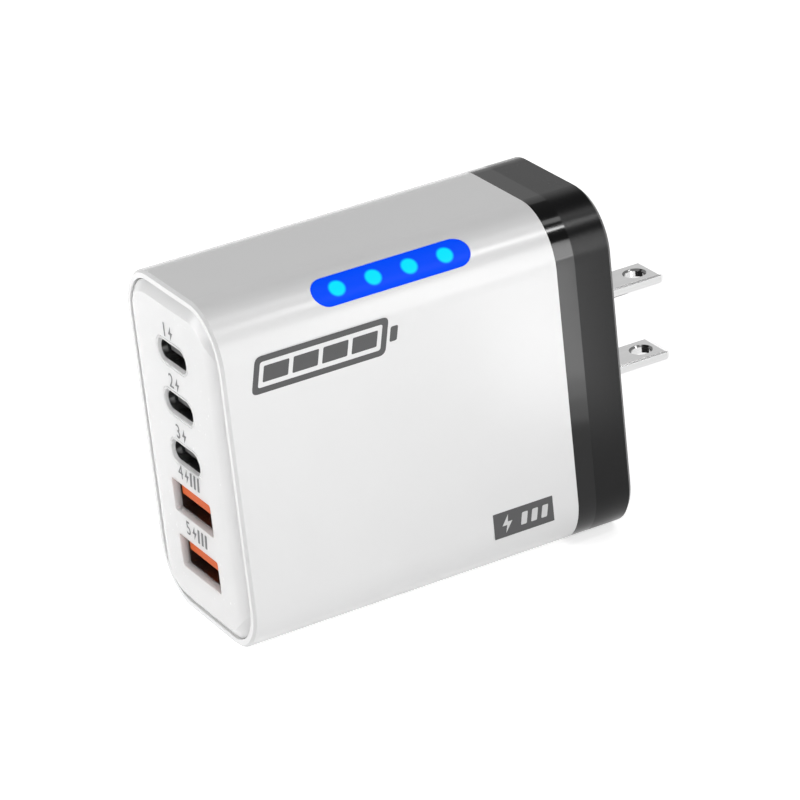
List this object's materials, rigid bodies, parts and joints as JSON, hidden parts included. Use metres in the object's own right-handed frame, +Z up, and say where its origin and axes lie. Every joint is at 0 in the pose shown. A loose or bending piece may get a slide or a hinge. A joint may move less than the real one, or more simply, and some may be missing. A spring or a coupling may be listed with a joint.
{
  "type": "multi port usb wall charger",
  "caption": "Rounded white plug-in mains charger with a raised front panel of charging ports, a blue light bar along one edge and a black rear cap with flat plug blades.",
  "frame": {"origin": "on the standing surface, under the middle of the whole length and width", "axes": "+X from the port panel to the blade tips, +Y away from the light bar's side, +Z up"},
  "size_m": [0.0806, 0.0312, 0.0545],
  "materials": {
    "white_shell": "moulded, semi-gloss",
    "blue_lens": "clear-tinted, glossy, lit from behind",
    "led_lamp": "water-clear, lit",
    "gloss_black": "mirror-polished moulding",
    "satin_black": "fine satin moulding",
    "nickel_plate": "plated, bright",
    "orange_insulator": "moulded, satin",
    "black_insulator": "moulded, satin",
    "gold_contact": "plated strip",
    "circuit_board": "green solder mask",
    "ferrite": "sintered, matt",
    "copper_wire": "enamelled wire",
    "capacitor_sleeve": "shrunk sleeve",
    "aluminium": "drawn, satin",
    "thermal_pad": "soft, matt",
    "film_capacitor": "boxed, satin",
    "fuse_body": "glazed"
  },
  "bodies": {
    "root": {"blade_contact_lower": "gold_contact", "blade_contact_upper": "gold_contact", "blade_retainer": "black_insulator", "body_shell": "white_shell", "bridge_rectifier": "black_insulator", "bulk_capacitor_1": "capacitor_sleeve", "bulk_capacitor_2": "capacitor_sleeve", "fuse": "fuse_body", "heat_spreader": "aluminium", "light_board": "circuit_board", "light_lens": "blue_lens", "line_capacitor": "film_capacitor", "line_choke_core": "ferrite", "line_choke_winding_1": "copper_wire", "line_choke_winding_2": "copper_wire", "main_board": "circuit_board", "output_capacitor_1": "aluminium", "output_capacitor_2": "aluminium", "output_capacitor_3": "aluminium", "plug_blade_lower": "nickel_plate", "plug_blade_upper": "nickel_plate", "port_board": "circuit_board", "port_inductor_1": "ferrite", "port_inductor_2": "ferrite", "port_inductor_3": "ferrite", "port_panel": "white_shell", "power_switch": "black_insulator", "rear_cap": "satin_black", "rectifier_switch": "black_insulator", "status_led_1": "led_lamp", "status_led_2": "led_lamp", "status_led_3": "led_lamp", "status_led_4": "led_lamp", "thermal_pad": "thermal_pad", "transformer_bobbin": "black_insulator", "transformer_core": "ferrite", "transformer_winding": "copper_wire", "trim_ring": "gloss_black", "usb_a_contacts_1": "gold_contact", "usb_a_contacts_2": "gold_contact", "usb_a_shell_1": "nickel_plate", "usb_a_shell_2": "nickel_plate", "usb_a_tongue_1": "orange_insulator", "usb_a_tongue_2": "orange_insulator", "usb_c_contacts_1": "gold_contact", "usb_c_contacts_2": "gold_contact", "usb_c_contacts_3": "gold_contact", "usb_c_shell_1": "nickel_plate", "usb_c_shell_2": "nickel_plate", "usb_c_shell_3": "nickel_plate", "usb_c_tongue_1": "black_insulator", "usb_c_tongue_2": "black_insulator", "usb_c_tongue_3": "black_insulator"}
  },
  "joints": []
}
